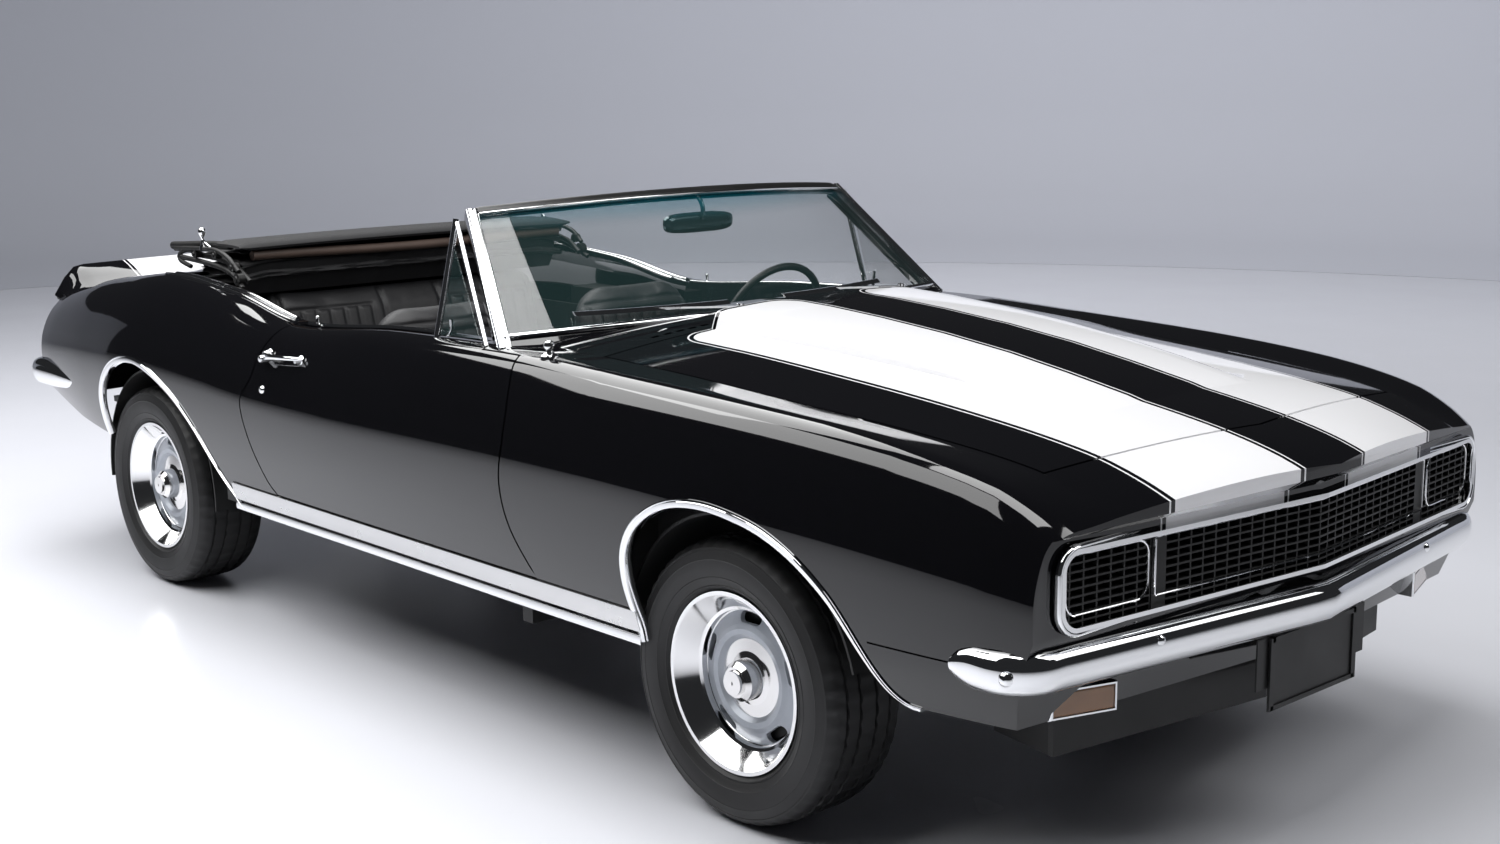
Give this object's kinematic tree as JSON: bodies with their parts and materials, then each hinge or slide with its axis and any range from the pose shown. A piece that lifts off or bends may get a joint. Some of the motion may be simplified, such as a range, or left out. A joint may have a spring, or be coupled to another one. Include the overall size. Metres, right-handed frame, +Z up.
{
  "type": "two-door convertible muscle car",
  "caption": "Open two-door car with a long hood, short deck, hidden lamps in a V-shaped grille, folded fabric top, bucket seats and steel disc wheels that steer and roll.",
  "frame": {"origin": "on the ground under the middle of the car, on its centre plane", "axes": "+X towards the nose, +Y to the car's left, +Z up"},
  "size_m": [4.69, 1.8366, 1.2999],
  "materials": {
    "black_paint": "gloss",
    "chassis_black": "satin",
    "cast_metal": "satin",
    "chrome": "polished",
    "wheel_silver": "satin",
    "tyre": "matte",
    "glass": "clear",
    "black_vinyl": "satin",
    "dash_black": "satin",
    "top_fabric": "matte",
    "red_lens": "gloss",
    "amber_lens": "gloss",
    "steel_grey": "satin"
  },
  "bodies": {
    "car": {"underbody": "chassis_black", "front_fenders": "black_paint", "quarter_panels": "black_paint", "rocker_panels": "black_paint", "cowl_panel": "black_paint", "nose_panel": "black_paint", "front_valance": "black_paint", "tail_panel": "black_paint", "grille": "dash_black", "headlamp_covers": "black_paint", "front_bumper": "chrome", "rear_bumper": "chrome", "tail_lamps": "red_lens", "windscreen_frame": "chrome", "windscreen_glass": "glass", "dashboard": "dash_black", "front_seats": "black_vinyl", "rear_seat": "black_vinyl", "folded_top": "top_fabric", "engine": "cast_metal", "radiator": "chassis_black", "front_suspension": "chassis_black", "rear_axle": "cast_metal", "steering_column": "chassis_black", "front_spoiler": "dash_black", "park_lamps": "amber_lens", "grille_surround": "chrome", "exhaust": "steel_grey", "fuel_tank": "steel_grey", "wipers": "chrome", "interior_mirror": "chrome", "fuel_cap": "chrome", "top_irons": "dash_black", "side_trim": "dash_black"},
    "hood": {"hood": "black_paint"},
    "boot_lid": {"trunk_lid": "black_paint", "rear_spoiler": "black_paint"},
    "door_right": {"door_right": "black_paint", "door_handle_right": "chrome", "vent_frame_right": "chrome", "vent_glass_right": "glass"},
    "door_left": {"door_left": "black_paint", "door_handle_left": "chrome", "vent_frame_left": "chrome", "vent_glass_left": "glass"},
    "steering_wheel": {"steering_wheel": "dash_black"},
    "knuckle_right": {"knuckle_front_right": "chassis_black"},
    "knuckle_left": {"knuckle_front_left": "chassis_black"},
    "wheel_front_right": {"rim_front_right": "wheel_silver", "tyre_front_right": "tyre"},
    "wheel_front_left": {"rim_front_left": "wheel_silver", "tyre_front_left": "tyre"},
    "wheel_rear_right": {"rim_rear_right": "wheel_silver", "tyre_rear_right": "tyre"},
    "wheel_rear_left": {"rim_rear_left": "wheel_silver", "tyre_rear_left": "tyre"}
  },
  "joints": [
    {"name": "hood_hinge", "type": "hinge", "parent": "car", "child": "hood", "pos_m": [0.815, 0, 1], "axis": [0, -1, 0], "range_deg": [0, 50]},
    {"name": "boot_hinge", "type": "hinge", "parent": "car", "child": "boot_lid", "pos_m": [-1.515, 0, 0.992], "axis": [0, 1, 0], "range_deg": [0, 65]},
    {"name": "door_right_hinge", "type": "hinge", "parent": "car", "child": "door_right", "pos_m": [0.779, -0.921, 0.66], "axis": [0, 0, 1], "range_deg": [0, 65]},
    {"name": "door_left_hinge", "type": "hinge", "parent": "car", "child": "door_left", "pos_m": [0.779, 0.921, 0.66], "axis": [0, 0, -1], "range_deg": [0, 65]},
    {"name": "knuckle_right_steer", "type": "hinge", "parent": "car", "child": "knuckle_right", "pos_m": [1.415, -0.668, 0.318], "axis": [0, 0, 1], "range_deg": [-32, 32]},
    {"name": "knuckle_left_steer", "type": "hinge", "parent": "car", "child": "knuckle_left", "pos_m": [1.415, 0.668, 0.318], "axis": [0, 0, 1], "range_deg": [-32, 32]},
    {"name": "steering_wheel_turn", "type": "hinge", "parent": "car", "child": "steering_wheel", "pos_m": [0.24, 0.37, 0.863], "axis": [0.9336, 0, -0.3584], "range_deg": [-520, 520]},
    {"name": "wheel_front_right_spin", "type": "hinge", "parent": "knuckle_right", "child": "wheel_front_right", "pos_m": [1.415, -0.748, 0.318], "axis": [0, 1, 0], "continuous": true},
    {"name": "wheel_front_left_spin", "type": "hinge", "parent": "knuckle_left", "child": "wheel_front_left", "pos_m": [1.415, 0.748, 0.318], "axis": [0, 1, 0], "continuous": true},
    {"name": "wheel_rear_right_spin", "type": "hinge", "parent": "car", "child": "wheel_rear_right", "pos_m": [-1.331, -0.748, 0.318], "axis": [0, 1, 0], "continuous": true},
    {"name": "wheel_rear_left_spin", "type": "hinge", "parent": "car", "child": "wheel_rear_left", "pos_m": [-1.331, 0.748, 0.318], "axis": [0, 1, 0], "continuous": true}
  ],
  "couplings": [
    {"joint": "knuckle_left_steer", "follows": "knuckle_right_steer", "ratio": 1},
    {"joint": "steering_wheel_turn", "follows": "knuckle_right_steer", "ratio": -16}
  ]
}
